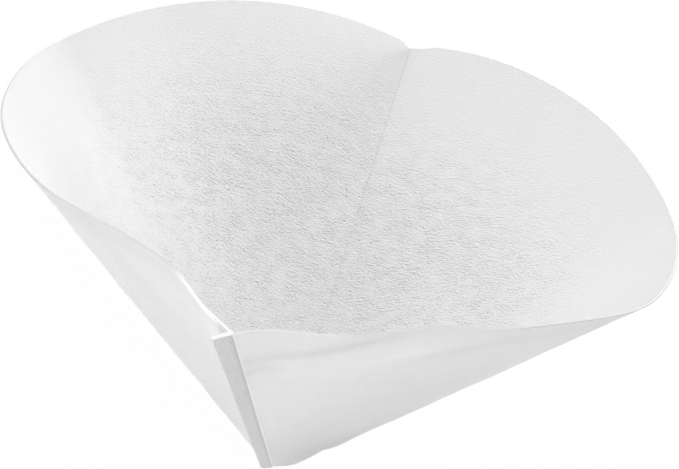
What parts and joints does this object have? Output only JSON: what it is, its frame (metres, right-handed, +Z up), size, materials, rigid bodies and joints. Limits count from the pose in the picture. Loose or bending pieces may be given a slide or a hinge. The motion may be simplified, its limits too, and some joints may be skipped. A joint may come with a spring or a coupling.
{
  "type": "fryer oil filter cone",
  "caption": "Opened cone of nonwoven sheet with one crease and one sealed edge, lying on its wall, for straining used frying oil.",
  "frame": {"origin": "the point that the straight walls run to, just behind the rounded tip, on the table", "axes": "+Z up from the table that the cone lies on, -Y along the table below the cone's axis, towards the mouth"},
  "size_m": [0.2369, 0.1874, 0.1846],
  "materials": {
    "nonwoven": "matt white nonwoven with fine streaky fibres"
  },
  "bodies": {
    "root": {"filter_cone": "nonwoven"}
  },
  "joints": []
}
